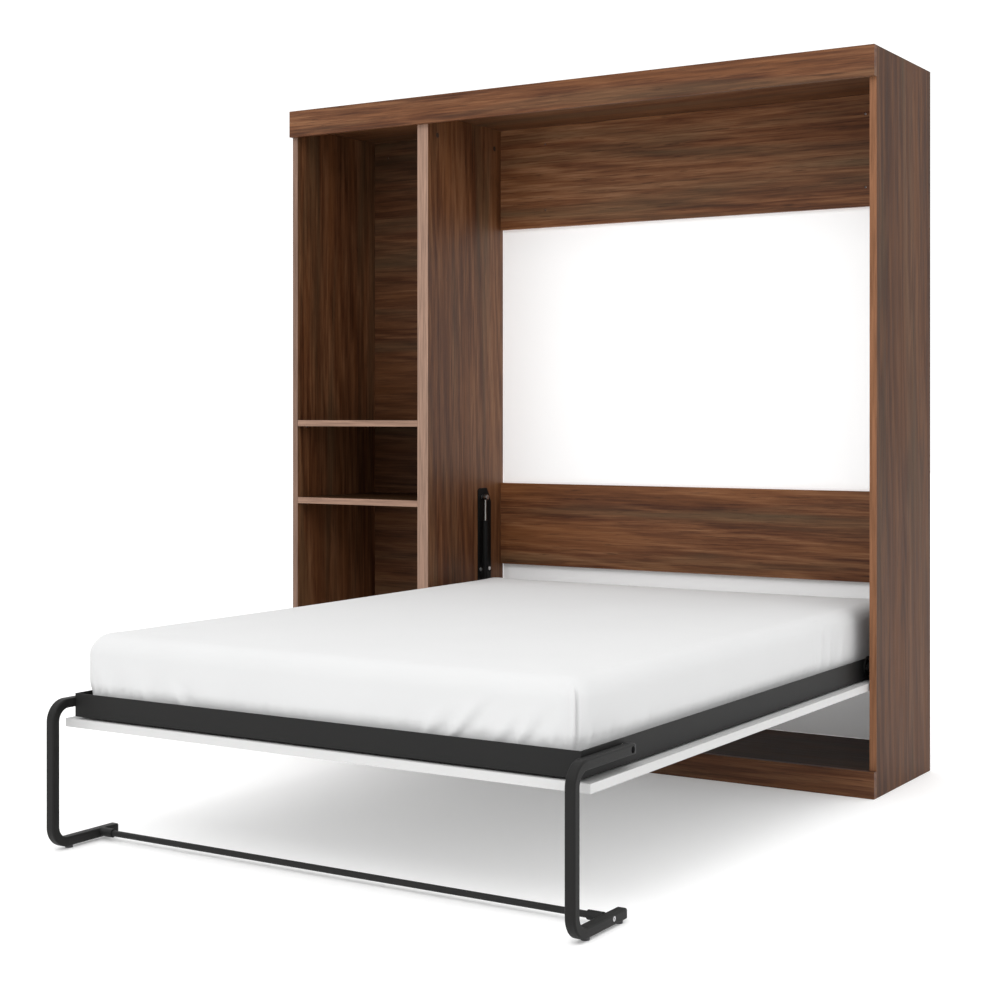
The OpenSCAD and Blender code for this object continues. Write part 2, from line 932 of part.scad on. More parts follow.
module gas_rod_right() {
    color(steel)
        bed_side(0)
            gas_rod();
}

// Gas cylinder with its closed lower end and end fitting
module gas_cylinder() {
    top_end = strut_top_z - 85;
    difference() {
        union() {
            translate([strut_x, strut_y, strut_low_z + 16])
                cylinder(d = cylinder_d, h = top_end - strut_low_z - 16);
            translate([strut_x, strut_y, strut_low_z])
                cylinder(d = 12, h = 20);
            pin_x(strut_x - eye_half + 0.4, strut_x + eye_half - 1, strut_y, strut_low_z, eye_r);
        }
        translate([strut_x, strut_y, strut_low_z + 26])
            cylinder(d = cylinder_d - 6, h = top_end - strut_low_z - 34);
        translate([strut_x, strut_y, top_end - 10])
            cylinder(d = piston_rod_d + 2 * running_gap, h = 11);
    }
}

module gas_cylinder_left() {
    color(charcoal)
        bed_side(1)
            gas_cylinder();
}

module gas_cylinder_right() {
    color(charcoal)
        bed_side(0)
            gas_cylinder();
}

bed_side_left();
bed_side_right();
bed_top_board();
bed_header();
upper_back_rail();
lower_back_rail();
base_deck();
base_front_board();
base_back_rail();
tower_side_left();
tower_side_right();
tower_top_board();
tower_header();
tower_back_panel();
tower_bottom_board();
tower_base_front();
tower_shelf_lower();
tower_shelf_upper();
shelf_pins();
cam_locks();
cam_bolts();
front_dowels();
joining_bolts();
lift_plates();
lift_plate_bolts();
pivot_flanges();
pivot_flange_screws();
strut_pins();
side_rail_left();
side_rail_right();
foot_rail();
head_rail();
centre_beam();
corner_gussets();
mattress_slats();
slat_holders();
face_panel();
panel_spacers();
panel_screws();
mattress();
bearing_housings();
pivot_bushes();
housing_bolts();
nylon_washers();
strut_lugs();
leg_pivot_bolts();
leg_backing_plates();
leg_left();
leg_right();
cross_rod();
rod_sleeves();
leg_screws();
leg_glides();
tube_end_caps();
gas_rod_left();
gas_rod_right();
gas_cylinder_left();
gas_cylinder_right();
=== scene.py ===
"""Looks of the vertical wall bed: materials, mattress, fitted sheet, light and camera.

Metres, in the CAD's own frame: X runs along the wall, Y from the bed's foot to the wall, Z up.
"""
import json
import math

import bpy
import numpy as np
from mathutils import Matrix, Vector


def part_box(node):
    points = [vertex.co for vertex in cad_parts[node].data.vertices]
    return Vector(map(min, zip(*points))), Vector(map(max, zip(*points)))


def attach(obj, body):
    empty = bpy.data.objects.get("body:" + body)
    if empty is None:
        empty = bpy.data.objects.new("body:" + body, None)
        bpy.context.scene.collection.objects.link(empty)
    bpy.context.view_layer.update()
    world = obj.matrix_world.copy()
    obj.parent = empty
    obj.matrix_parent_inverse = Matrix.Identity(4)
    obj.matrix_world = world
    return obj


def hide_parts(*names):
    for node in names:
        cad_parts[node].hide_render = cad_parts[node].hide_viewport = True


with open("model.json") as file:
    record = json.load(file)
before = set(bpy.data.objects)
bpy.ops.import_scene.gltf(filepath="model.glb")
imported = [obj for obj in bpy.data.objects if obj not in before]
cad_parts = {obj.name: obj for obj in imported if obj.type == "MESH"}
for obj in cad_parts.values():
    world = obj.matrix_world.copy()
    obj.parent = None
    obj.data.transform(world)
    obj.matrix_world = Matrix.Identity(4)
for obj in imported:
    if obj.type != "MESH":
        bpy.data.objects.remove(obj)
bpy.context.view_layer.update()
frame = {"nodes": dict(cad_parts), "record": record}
scene = bpy.context.scene
nodes = frame["nodes"]

# ---------------------------------------------------------------- camera
CAMERA_PLACE = (2.9646, -4.4288, 1.142)
CAMERA_TURN = math.radians(32.02)
CAMERA_TILT = 0.0011
FOCAL_IN_FRAMES = 1.7692
SENSOR = 36.0
SHIFT = (-0.0029, -0.082)

camera_data = bpy.data.cameras.new("camera")
camera_data.sensor_width = SENSOR
camera_data.lens = FOCAL_IN_FRAMES * SENSOR
camera_data.shift_x, camera_data.shift_y = SHIFT
camera = bpy.data.objects.new("camera", camera_data)
camera.location = CAMERA_PLACE
camera.rotation_euler = (math.pi / 2 - CAMERA_TILT, 0, CAMERA_TURN)
scene.collection.objects.link(camera)
scene.camera = camera


# ---------------------------------------------------------------- material helpers
def times(colour, factor):
    return tuple(factor * c for c in colour)


class Paint:
    """A Principled material, with short calls for the nodes behind it."""

    def __init__(self, name):
        self.material = bpy.data.materials.new(name)
        self.material.use_nodes = True
        self.tree = self.material.node_tree
        self.tree.nodes.clear()
        self.output = self.tree.nodes.new("ShaderNodeOutputMaterial")
        self.bsdf = self.tree.nodes.new("ShaderNodeBsdfPrincipled")
        self.tree.links.new(self.bsdf.outputs[0], self.output.inputs[0])
        self.bsdf.inputs["Emission Color"].default_value = (1, 1, 1, 1)
        self.place = self.add("ShaderNodeTexCoord").outputs["Object"]

    def add(self, kind, inputs=(), **settings):
        made = self.tree.nodes.new(kind)
        for key, value in settings.items():
            setattr(made, key, value)
        for key, value in dict(inputs).items():
            self.put(made.inputs[key], value)
        return made

    def put(self, socket, value):
        if isinstance(value, bpy.types.NodeSocket):
            self.tree.links.new(value, socket)
        else:
            socket.default_value = value

    def math(self, operation, a, b=0.0):
        return self.add("ShaderNodeMath", {0: a, 1: b}, operation=operation).outputs[0]

    def stretched(self, scale, offset=(0, 0, 0)):
        moved = self.add("ShaderNodeVectorMath", {0: self.place, 1: offset}, operation="ADD").outputs[0]
        return self.add("ShaderNodeVectorMath", {0: moved, 1: scale}, operation="MULTIPLY").outputs[0]

    def noise(self, where, scale, detail=3.0, roughness=0.5, distortion=0.0):
        settings = {"Scale": scale, "Detail": detail, "Roughness": roughness, "Distortion": distortion}
        return self.add("ShaderNodeTexNoise", {"Vector": where, **settings}).outputs["Fac"]

    def spread(self, value, low, high, to_low=0.0, to_high=1.0):
        return self.add("ShaderNodeMapRange", {0: value, 1: low, 2: high, 3: to_low, 4: to_high}).outputs[0]

    def ramp(self, value, stops):
        made = self.add("ShaderNodeValToRGB", {0: value})
        band = made.color_ramp
        while len(band.elements) < len(stops):
            band.elements.new(0.5)
        for element, (at, colour) in zip(band.elements, stops):
            element.position = at
            element.color = (*colour, 1)
        return made.outputs[0]

    def mix(self, share, a, b):
        made = self.add("ShaderNodeMix", data_type="RGBA")
        self.put(made.inputs[0], share)
        for socket, value in ((made.inputs[6], a), (made.inputs[7], b)):
            self.put(socket, value if isinstance(value, bpy.types.NodeSocket) else (*value, 1))
        return made.outputs[2]

    def mask(self, value, strength, a, b):
        """Mixes b over a where the mask value is, at most at the given strength."""
        return self.mix(self.math("MULTIPLY", value, strength), a, b)

    def axis(self, name):
        return self.add("ShaderNodeSeparateXYZ", {0: self.place}).outputs[name]

    def bump(self, height, distance, strength=1.0, under=None):
        made = self.add("ShaderNodeBump", {"Height": height, "Distance": distance, "Strength": strength})
        if under is not None:
            self.put(made.inputs["Normal"], under)
        return made.outputs[0]

    def finish(self, **inputs):
        for key, value in inputs.items():
            socket = self.bsdf.inputs[key.replace("_", " ")]
            self.put(socket, (*value, 1) if key == "Base_Color" and isinstance(value, tuple) else value)
        return self.material


# ---------------------------------------------------------------- walnut
# The stretches shorten a pattern's coordinates along the grain; scales are features per metre across it.
BROAD_STRETCH, FINE_STRETCH, HAIR_STRETCH = 0.07, 0.035, 0.012
PATCH_SCALE, FIGURE_SCALE, CAST_SCALE = 7.0, 11.0, 11.0
STREAK_SCALE, LINE_SCALE = 125.0, 210.0
FIBRE_SCALE, PORE_SCALE = 260.0, 620.0
PATCH_WEIGHT, FIGURE_WEIGHT, STREAK_WEIGHT, FIBRE_WEIGHT = 0.44, 0.10, 0.52, 0.20
FIGURE_RANGE = (0.36, 0.90)
EDGE_DEPTH = 0.0012
BOARD_SPECULAR = 0.20
WALNUT_STOPS = [
    (0.14, (0.040, 0.0118, 0.0042)),
    (0.36, (0.082, 0.0280, 0.0106)),
    (0.52, (0.128, 0.0495, 0.0200)),
    (0.68, (0.182, 0.0795, 0.0350)),
    (0.88, (0.240, 0.1170, 0.0580)),
]
WALNUT_GREY = (0.092, 0.060, 0.031)
WALNUT_ORANGE = (0.190, 0.070, 0.022)
WALNUT_LINE = (0.026, 0.011, 0.005)


def walnut(name, grain, seed, painted_light_tone, edge, edge_at, specular):
    """Printed walnut, with its figure running along the axis named grain.

    edge is the colour of the band on faces in front of edge_at, or None.
    """
    p = Paint(name)
    shift = (seed * 1.37, seed * 0.71, seed * 2.11)

    def along_grain(stretch, offset):
        return p.stretched([stretch if axis == grain else 1.0 for axis in "xyz"], offset)

    wood, fine, hair = (along_grain(s, shift) for s in (BROAD_STRETCH, FINE_STRETCH, HAIR_STRETCH))
    patches = p.noise(wood, PATCH_SCALE, 4, 0.55, 0.9)
    wave = {"Vector": wood, "Scale": FIGURE_SCALE, "Distortion": 12.0}
    wave |= {"Detail": 4.0, "Detail Scale": 1.2, "Detail Roughness": 0.6}
    figure = p.add("ShaderNodeTexWave", wave, bands_direction="DIAGONAL").outputs["Fac"]
    streaks = p.noise(fine, STREAK_SCALE, 5, 0.68, 0.35)
    fibres = p.noise(hair, FIBRE_SCALE, 3, 0.55)
    total = p.math("MULTIPLY", patches, PATCH_WEIGHT)
    for layer, weight in ((figure, FIGURE_WEIGHT), (streaks, STREAK_WEIGHT), (fibres, FIBRE_WEIGHT)):
        total = p.math("ADD", total, p.math("MULTIPLY", layer, weight))
    # the tone scales the board's colours: painted light and shade
    colour = p.ramp(p.spread(total, *FIGURE_RANGE), [(at, times(rgb, painted_light_tone)) for at, rgb in WALNUT_STOPS])
    # slow casts towards grey and orange, then dark lines and pores
    cast = p.noise(along_grain(BROAD_STRETCH, shift[::-1]), CAST_SCALE, 3, 0.5, 0.5)
    colour = p.mix(p.spread(cast, 0.50, 0.72, 0.0, 0.65), colour, times(WALNUT_GREY, painted_light_tone))
    colour = p.mix(p.spread(cast, 0.48, 0.28, 0.0, 0.50), colour, times(WALNUT_ORANGE, painted_light_tone))
    lines = p.spread(p.noise(fine, LINE_SCALE, 3, 0.6, 0.8), 0.58, 0.68)
    colour = p.mask(lines, 0.55, colour, WALNUT_LINE)
    pores = p.spread(p.noise(hair, PORE_SCALE, 2, 0.5), 0.60, 0.70)
    colour = p.mask(pores, 0.35, colour, WALNUT_LINE)
    if edge:
        ahead = p.math("LESS_THAN", p.axis("Y"), edge_at + EDGE_DEPTH)
        band = p.mix(p.spread(streaks, 0.35, 0.65), times(edge, 0.72), times(edge, 1.22))
        colour = p.mix(ahead, colour, band)
    rough = p.spread(streaks, 0.3, 0.7, 0.40, 0.54)
    normal = p.bump(fibres, 0.00025, 0.5)
    normal = p.bump(pores, -0.0001, 0.6, normal)
    return p.finish(Base_Color=colour, Roughness=rough, Normal=normal, Specular_IOR_Level=specular)


# ---------------------------------------------------------------- other materials
def powder_coat(name, shade=0.010, specular=0.17):
    """Black paint with an orange-peel skin, pale specks and edges rubbed a little lighter."""
    p = Paint(name)
    peel = p.noise(p.place, 900.0, 3, 0.6)
    cloud = p.noise(p.place, 7.0, 3)
    speck = p.spread(p.noise(p.place, 2600.0, 1), 0.62, 0.75)
    colour = p.mix(cloud, (shade * 0.88,) * 3, (shade * 1.12, shade * 1.07, shade * 1.00))
    colour = p.mask(speck, 0.25, colour, (shade * 2.4,) * 3)
    edge = p.spread(p.add("ShaderNodeNewGeometry").outputs["Pointiness"], 0.53, 0.62)
    colour = p.mask(edge, 0.35, colour, (shade * 2.6,) * 3)
    rough = p.spread(peel, 0.3, 0.7, 0.46, 0.62)
    normal = p.bump(peel, 0.0003, 0.35)
    return p.finish(Base_Color=colour, Roughness=rough, Normal=normal, Specular_IOR_Level=specular)


def white_board(name):
    p = Paint(name)
    skin = p.noise(p.place, 1400.0, 2)
    cloud = p.noise(p.place, 3.0, 3)
    colour = p.mix(cloud, (0.525, 0.524, 0.520), (0.560, 0.559, 0.555))
    scuff = p.spread(p.noise(p.stretched((1, 0.1, 1)), 60.0, 4, 0.7), 0.70, 0.85)
    colour = p.mask(scuff, 0.12, colour, (0.55, 0.54, 0.52))
    rough = p.spread(skin, 0.3, 0.7, 0.34, 0.46)
    return p.finish(Base_Color=colour, Roughness=rough, Normal=p.bump(skin, 0.0001, 0.3))


def metal(name, colour, rough, lines=180.0):
    p = Paint(name)
    turned = p.noise(p.stretched((1, 1, 0.08)), lines, 4, 0.7)
    bloom = p.noise(p.place, 40.0, 4, 0.6)
    shade = p.mix(p.spread(bloom, 0.3, 0.75), colour, times(colour, 0.72))
    rough = p.spread(turned, 0.3, 0.7, rough, rough + 0.14)
    return p.finish(Base_Color=shade, Metallic=1.0, Roughness=rough, Normal=p.bump(turned, 0.0001, 0.25))


def plastic(name, colour, rough=0.5):
    p = Paint(name)
    grain = p.noise(p.place, 1500.0, 2)
    cloud = p.noise(p.place, 18.0, 3)
    shade = p.mix(cloud, times(colour, 0.86), times(colour, 1.12))
    rough = p.spread(grain, 0.3, 0.7, rough - 0.08, rough + 0.08)
    return p.finish(Base_Color=shade, Roughness=rough, Normal=p.bump(grain, 0.0002, 0.4))


def pale_wood(name, seed):
    """Beech, with the grain along X."""
    p = Paint(name)
    rings = p.noise(p.stretched((0.06, 1, 1), (seed, 0.3, 0.9)), 22.0, 4, 0.6, 0.6)
    fibre = p.noise(p.stretched((0.02, 1, 1)), 420.0, 3)
    flecks = p.spread(p.noise(p.stretched((0.12, 1, 1)), 700.0, 1), 0.62, 0.70)
    stops = [(0.25, (0.50, 0.33, 0.18)), (0.55, (0.63, 0.45, 0.27)), (0.8, (0.72, 0.55, 0.36))]
    colour = p.mask(flecks, 0.4, p.ramp(rings, stops), (0.36, 0.21, 0.11))
    rough = p.spread(fibre, 0.3, 0.7, 0.48, 0.62)
    return p.finish(Base_Color=colour, Roughness=rough, Normal=p.bump(fibre, 0.0003, 0.5))


def woven(name, light, dark, thread, sheen):
    """Plain weave: warp and weft ribs from position, so that it needs no UVs."""
    p = Paint(name)

    def ribs(axis):
        turn = p.math("MULTIPLY", p.axis(axis), math.pi / thread)
        return p.math("ABSOLUTE", p.math("SINE", turn))

    def either(choice, a, b):
        return p.add("ShaderNodeMix", {0: p.math("GREATER_THAN", choice, 0.7), 2: a, 3: b}).outputs[0]

    rib_x, rib_y, rib_z = (ribs(axis) for axis in "XYZ")
    true_normal = p.add("ShaderNodeNewGeometry").outputs["True Normal"]
    facing = p.add("ShaderNodeSeparateXYZ", {0: true_normal}).outputs
    up, side = (p.math("ABSOLUTE", facing[axis]) for axis in "ZX")
    level = p.math("MULTIPLY", rib_x, rib_y)
    upright = either(side, p.math("MULTIPLY", rib_x, rib_z), p.math("MULTIPLY", rib_y, rib_z))
    weave = either(up, upright, level)
    slub = p.noise(p.stretched((1, 0.05, 1)), 300.0, 3)
    cloud = p.noise(p.place, 4.0, 3)
    colour = p.mask(p.spread(slub, 0.62, 0.8), 0.3, p.mix(cloud, dark, light), times(dark, 0.93))
    normal = p.bump(weave, 0.0002, 0.25)
    normal = p.bump(p.noise(p.place, 55.0, 4, 0.6), 0.0016, 0.18, normal)
    return p.finish(
        Base_Color=colour,
        Roughness=p.spread(slub, 0.2, 0.8, 0.80, 0.94),
        Normal=normal,
        Sheen_Weight=sheen,
        Sheen_Roughness=0.5,
        Specular_IOR_Level=0.2,
    )


# ---------------------------------------------------------------- finishes on the CAD nodes
FRONT_EDGES_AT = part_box("bed_side_right")[0].y
PINK_EDGE = (0.290, 0.180, 0.130)
ORANGE_EDGE = (0.215, 0.098, 0.050)
BROWN_EDGE = (0.188, 0.113, 0.081)
# each board's grain axis, tone and front edge band; the tone is painted light and shade: darker for boards
# in shadow, such as the deck, the shelves and the right side, lighter for the back rails
WALNUT_BOARDS = {
    "bed_side_left": ("z", 0.92, PINK_EDGE),
    "bed_side_right": ("z", 0.60, ORANGE_EDGE),
    "tower_side_left": ("z", 1.05, BROWN_EDGE),
    "tower_side_right": ("z", 1.0, PINK_EDGE),
    "tower_shelf_lower": ("x", 0.42, PINK_EDGE),
    "tower_shelf_upper": ("x", 0.42, PINK_EDGE),
    "bed_top_board": ("x", 0.9, None),
    "bed_header": ("x", 1.05, None),
    "tower_header": ("x", 1.05, None),
    "upper_back_rail": ("x", 1.25, None),
    "lower_back_rail": ("x", 1.20, None),
    "base_deck": ("x", 0.38, None),
    "base_front_board": ("x", 0.78, None),
    "base_back_rail": ("x", 0.9, None),
    "tower_top_board": ("x", 0.9, None),
    "tower_back_panel": ("x", 0.70, None),
    "tower_bottom_board": ("x", 0.9, None),
    "tower_base_front": ("x", 1.0, None),
}
# a bevel would draw a dark line between the two screw holes of this panel
UNEASED_BOARD = "tower_back_panel"
DULL_BOARDS = {
    "base_deck": 0.04,
    "bed_side_right": 0.08,
    "tower_shelf_lower": 0.06,
    "tower_shelf_upper": 0.06,
}
SAME_FIGURE = {"tower_header": "bed_header", "tower_base_front": "base_front_board"}
BOARD_EASE, STEEL_EASE, PANEL_EASE = 0.0008, 0.0006, 0.0012
EASED_STEEL = ("side_rail_left", "side_rail_right", "foot_rail", "head_rail", "centre_beam", "lift_plates")


def wear(obj, material):
    obj.data.materials.clear()
    obj.data.materials.append(material)


def ease_edges(obj, width, segments=2):
    """Rounds a node's arrises and evens its normals, so that they catch the light."""
    weld = obj.modifiers.new("weld", "WELD")
    weld.merge_threshold = 0.00002
    bevel = obj.modifiers.new("bevel", "BEVEL")
    bevel.width, bevel.segments = width, segments
    bevel.limit_method, bevel.angle_limit = "ANGLE", math.radians(40)
    bevel.use_clamp_overlap = True
    even = obj.modifiers.new("normals", "WEIGHTED_NORMAL")
    even.keep_sharp = False


cuts = list(WALNUT_BOARDS)
for node, (grain, painted_light_tone, edge) in WALNUT_BOARDS.items():
    seed = 1 + cuts.index(SAME_FIGURE.get(node, node))
    specular = DULL_BOARDS.get(node, BOARD_SPECULAR)
    wear(nodes[node], walnut("walnut_" + node, grain, seed, painted_light_tone, edge, FRONT_EDGES_AT, specular))
    if node != UNEASED_BOARD:
        ease_edges(nodes[node], BOARD_EASE)

coat = powder_coat("powder_coat")
# a darker, duller copy of the black coat: painted shade for the lift and pivot parts in the cabinet's
# shadow
painted_shade_coat = powder_coat("painted_shade_coat", 0.005, 0.10)
bright_zinc = metal("bright_zinc", (0.92, 0.92, 0.92), 0.42)
brown_cover = plastic("brown_cover", (0.030, 0.013, 0.006), 0.7)
SLOT_PAINT = {
    "black_steel": coat,
    "zinc_steel": metal("zinc", (0.66, 0.66, 0.67), 0.26),
    # the chrome's base colour is dark: painted shade for the rod inside the lift
    "chrome_rod": metal("chrome", (0.30, 0.29, 0.28), 0.16, 900.0),
    "black_plastic": plastic("black_moulding", (0.028, 0.028, 0.030)),
    "nylon": plastic("natural_nylon", (0.72, 0.71, 0.67), 0.45),
    "white_melamine": white_board("white_board"),
}
# nodes that look different from the rest of their material slot; the darker coat and the black screws are
# painted shade
NODE_PAINT = {
    "lift_plates": painted_shade_coat,
    "gas_cylinder_left": painted_shade_coat,
    "gas_cylinder_right": painted_shade_coat,
    "pivot_flanges": painted_shade_coat,
    "bearing_housings": painted_shade_coat,
    "lift_plate_bolts": bright_zinc,
    # the zinc screws of the flanges and housings take the black coat: painted shade where they sit in the
    # cabinet's shadow
    "pivot_flange_screws": coat,
    "housing_bolts": coat,
    "cam_locks": brown_cover,
    "joining_bolts": brown_cover,
}
slot_of = {s["node"]: s["material_slot"] for s in frame["record"]["subparts"]}
for number, (node, obj) in enumerate(sorted(nodes.items())):
    if node in NODE_PAINT:
        wear(obj, NODE_PAINT[node])
    elif slot_of[node] in SLOT_PAINT:
        wear(obj, SLOT_PAINT[slot_of[node]])
    elif slot_of[node] == "beech":
        wear(obj, pale_wood("beech_" + node, number))
for node in EASED_STEEL:
    ease_edges(nodes[node], STEEL_EASE)
ease_edges(nodes["face_panel"], PANEL_EASE, 3)

# ---------------------------------------------------------------- mattress
MATTRESS_LOW, MATTRESS_HIGH = (np.array(c, float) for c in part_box("mattress"))
RAIL_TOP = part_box("side_rail_right")[1].z
# what the block leaves free for the swelling and the sheet
SIDE_INSET, TOP_INSET = 0.0075, 0.006
SIDE_RADIUS, TOP_RADIUS, BOTTOM_RADIUS = 0.056, 0.044, 0.014
GRID, FINE_GRID, FINE_BAND = 0.020, 0.008, 0.072
HEIGHT_GRID = 1.2 * FINE_GRID
HELD_BAND = 0.004
SIM_FRAMES = 20
SWELL_CAP = 0.006
TINY = 1e-9


def coordinates(mesh):
    flat = np.empty(len(mesh.vertices) * 3)
    mesh.vertices.foreach_get("co", flat)
    return flat.reshape(-1, 3)


def set_coordinates(mesh, points):
    mesh.vertices.foreach_set("co", np.asarray(points, np.float32).ravel())
    mesh.update()


def mesh_object(name, points, faces, body):
    mesh = bpy.data.meshes.new(name)
    mesh.from_pydata([tuple(q) for q in points], [], [list(f) for f in faces])
    mesh.update()
    mesh.shade_smooth()
    obj = bpy.data.objects.new(name, mesh)
    scene.collection.objects.link(obj)
    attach(obj, body)
    return obj


def grid_lines(low, high):
    """Steps of GRID from low to high, and of FINE_GRID within FINE_BAND of both ends."""
    count = int((high - low - 2 * FINE_BAND) / GRID) + 1
    inner = np.linspace(low + FINE_BAND, high - FINE_BAND, max(2, count))
    edge = np.linspace(0, FINE_BAND, int(FINE_BAND / FINE_GRID) + 1)[:-1]
    return np.concatenate([low + edge, inner, high - edge[::-1]])


def block_mesh(low, high):
    """Square-edged block of quads: its vertices and faces."""
    xs, ys = grid_lines(low[0], high[0]), grid_lines(low[1], high[1])
    zs = np.linspace(low[2], high[2], int((high[2] - low[2]) / HEIGHT_GRID) + 1)
    nx, ny, nz = len(xs) - 1, len(ys) - 1, len(zs) - 1
    index, points, faces = {}, [], []

    def vertex(i, j, k):
        if (i, j, k) not in index:
            index[i, j, k] = len(points)
            points.append((xs[i], ys[j], zs[k]))
        return index[i, j, k]

    def quad(*corners):
        faces.append([vertex(*corner) for corner in corners])

    for i in range(nx):
        for j in range(ny):
            quad((i, j, nz), (i + 1, j, nz), (i + 1, j + 1, nz), (i, j + 1, nz))
            quad((i, j, 0), (i, j + 1, 0), (i + 1, j + 1, 0), (i + 1, j, 0))
    for k in range(nz):
        for i in range(nx):
            quad((i, 0, k), (i + 1, 0, k), (i + 1, 0, k + 1), (i, 0, k + 1))
            quad((i + 1, ny, k), (i, ny, k), (i, ny, k + 1), (i + 1, ny, k + 1))
        for j in range(ny):
            quad((nx, j, k), (nx, j + 1, k), (nx, j + 1, k + 1), (nx, j, k + 1))
            quad((0, j + 1, k), (0, j, k), (0, j, k + 1), (0, j + 1, k + 1))
    return np.array(points), faces


def rounded(points, low, high):
    """The block's points, with its upright corners and its top and bottom edges rounded."""
    plan, z = points[:, :2], points[:, 2]
    # in plan: a point's farther offset from its corner's centre becomes its distance from it
    centre = np.clip(plan, low[:2] + SIDE_RADIUS, high[:2] - SIDE_RADIUS)
    out = plan - centre
    length = np.linalg.norm(out, axis=1)
    reach = np.max(np.abs(out), axis=1)
    direction = out / np.maximum(length, TINY)[:, None]
    # in section: the same for the offsets outwards and up or down from the edge's centre
    top, bottom = high[2] - TOP_RADIUS, low[2] + BOTTOM_RADIUS
    radius = np.where(z > top, TOP_RADIUS, BOTTOM_RADIUS)
    over = np.where(z > top, z - top, np.where(z < bottom, z - bottom, 0.0))
    flat = radius - np.minimum(SIDE_RADIUS - reach, radius)
    longer = np.maximum(np.maximum(np.abs(over), flat), TINY)
    shrink = np.where((np.abs(over) > 0) & (flat > 0), longer / np.maximum(np.hypot(flat, over), TINY), 1.0)
    in_edge = reach > SIDE_RADIUS - radius
    new_reach = np.where(in_edge, SIDE_RADIUS - radius + flat * shrink, reach)
    moved = points.copy()
    outer = length > 0
    moved[outer, :2] = centre[outer] + direction[outer] * new_reach[outer, None]
    moved[:, 2] = z - over + np.where(in_edge, over * shrink, over)
    return moved


def swell(obj, held, cap):
    """Blows the block up like a filled cover, with its underside held.

    Every point stays within cap of its start.
    """
    start = coordinates(obj.data)
    group = obj.vertex_groups.new(name="held")
    group.add([int(i) for i in np.nonzero(held)[0]], 1.0, "REPLACE")
    cloth = obj.modifiers.new("cloth", "CLOTH")
    cloth.settings.quality = 4
    cloth.settings.use_pressure = True
    cloth.settings.uniform_pressure_force = 4.0
    cloth.settings.tension_stiffness = cloth.settings.compression_stiffness = 30
    cloth.settings.bending_stiffness = 6.0
    cloth.settings.vertex_group_mass = "held"
    cloth.settings.effector_weights.gravity = 0.0
    cloth.point_cache.frame_start, cloth.point_cache.frame_end = 1, SIM_FRAMES
    for step in range(1, SIM_FRAMES + 1):
        scene.frame_set(step)
    shape = obj.evaluated_get(bpy.context.evaluated_depsgraph_get())
    moved = coordinates(shape.data) - start
    obj.modifiers.remove(cloth)
    scene.frame_set(1)
    length = np.linalg.norm(moved, axis=1)
    kept = cap * np.tanh(length / cap) / np.maximum(length, TINY)
    set_coordinates(obj.data, start + moved * kept[:, None])
    obj.vertex_groups.clear()


core_low = MATTRESS_LOW + (SIDE_INSET, SIDE_INSET, 0)
core_high = MATTRESS_HIGH - (SIDE_INSET, SIDE_INSET, TOP_INSET)
block_points, block_faces = block_mesh(core_low, core_high)
core_points = rounded(block_points, core_low, core_high)
core = mesh_object("mattress_core", core_points, block_faces, "bed")
swell(core, core_points[:, 2] < core_low[2] + HELD_BAND, SWELL_CAP)
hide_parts("mattress")
wear(core, woven("ticking", (0.80, 0.79, 0.76), (0.74, 0.73, 0.70), 0.0016, 0.15))


# ---------------------------------------------------------------- fitted sheet
SHEET_LIFT, LEAST_LIFT = 0.0016, 0.0009
SHEET_BULGE = 0.0060
TURN_UNDER, UNDERSIDE_BAND = 0.055, 0.002
CORNER_REACH = 0.16
# distances from the head end: the sheet lies flat up to the first and bulges fully from the second
STRUT_ZONE = (0.45, 0.75)
SEAM_WIDTH, SEAM_HEIGHT, SEAM_GROOVE = 0.012, 0.0042, 0.0065
SEAM_REACH, SEAM_BELOW_TOP = 0.085, 0.020
GATHER_PITCH, GATHER_DEPTH, CORNER_GATHER_DEPTH = 0.034, 0.0013, 0.0022
HEM_HEIGHT = 0.050
WAVE_DEPTH = 0.0010


def soft_step(value, low, high):
    t = np.clip((value - low) / (high - low), 0, 1)
    return t * t * (3 - 2 * t)


def lobe(value, centre, width):
    return np.exp(-(((value - centre) / width) ** 2))


def refined(obj):
    """The object's mesh, subdivided once."""
    finer = obj.modifiers.new("finer", "SUBSURF")
    finer.levels = 1
    mesh = bpy.data.meshes.new_from_object(obj.evaluated_get(bpy.context.evaluated_depsgraph_get()))
    obj.modifiers.remove(finer)
    return mesh


class Crease:
    """A fold that starts at the hem and climbs a side, with a shallow valley beside it.

    axis runs along the side and normal out of it; the fold leans by slant and ends at the height tall.
    """

    def __init__(self, axis, normal, start, width, depth, slant, tall):
        self.axis, self.normal, self.start = axis, np.array(normal), start
        self.width, self.depth, self.slant, self.tall = width, depth, slant, tall

    def lift(self, q, n):
        climb = q[:, 2] - RAIL_TOP
        line = q[:, self.axis] - self.start - self.slant * climb
        width = self.width * (1 + 6 * np.clip(climb, 0, 0.12))
        fade = soft_step(self.tall - climb, 0, 0.8 * self.tall)
        facing = soft_step(n @ self.normal, 0.3, 0.8)
        return facing * fade * self.depth * (lobe(line, 0, width) - 0.75 * lobe(line, 1.7 * width, width))


